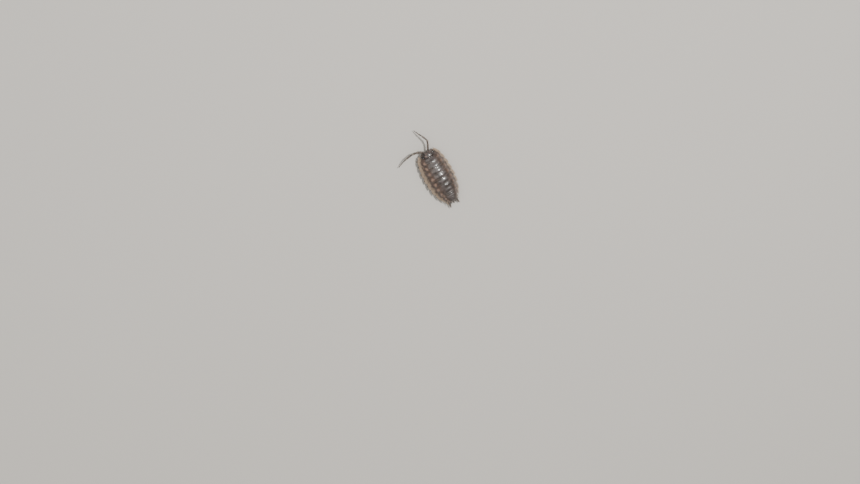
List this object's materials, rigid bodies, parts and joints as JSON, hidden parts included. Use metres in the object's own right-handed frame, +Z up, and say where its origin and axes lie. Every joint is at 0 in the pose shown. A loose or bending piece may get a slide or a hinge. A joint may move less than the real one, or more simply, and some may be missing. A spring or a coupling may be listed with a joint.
{
  "type": "woodlouse model",
  "caption": "Life-size still model of a woodlouse walking on its jointed legs, with an arched back of overlapping plates, spread antennae and short tail spikes.",
  "frame": {"origin": "middle of the footprint on the floor, under the bounding box", "axes": "+Z up, the head points to -Y and the animal's left side is +X"},
  "size_m": [0.0102, 0.0198, 0.0035],
  "materials": {
    "shell": "glossy slate-brown chitin with pale margins and two rows of pale spots",
    "limb": "pale brown-grey jointed limbs, a little translucent",
    "tail_point": "glossy brown-grey with a pale edge",
    "eye": "glossy black beads"
  },
  "bodies": {
    "root": {"head": "shell", "eye_left": "eye", "eye_right": "eye", "antenna_left": "limb", "antenna_right": "limb", "thorax": "shell", "tail": "shell", "telson": "tail_point", "uropod_left": "limb", "uropod_right": "limb", "leg_left_1": "limb", "leg_left_2": "limb", "leg_left_3": "limb", "leg_left_4": "limb", "leg_left_5": "limb", "leg_left_6": "limb", "leg_left_7": "limb", "leg_right_1": "limb", "leg_right_2": "limb", "leg_right_3": "limb", "leg_right_4": "limb", "leg_right_5": "limb", "leg_right_6": "limb", "leg_right_7": "limb"}
  },
  "joints": []
}
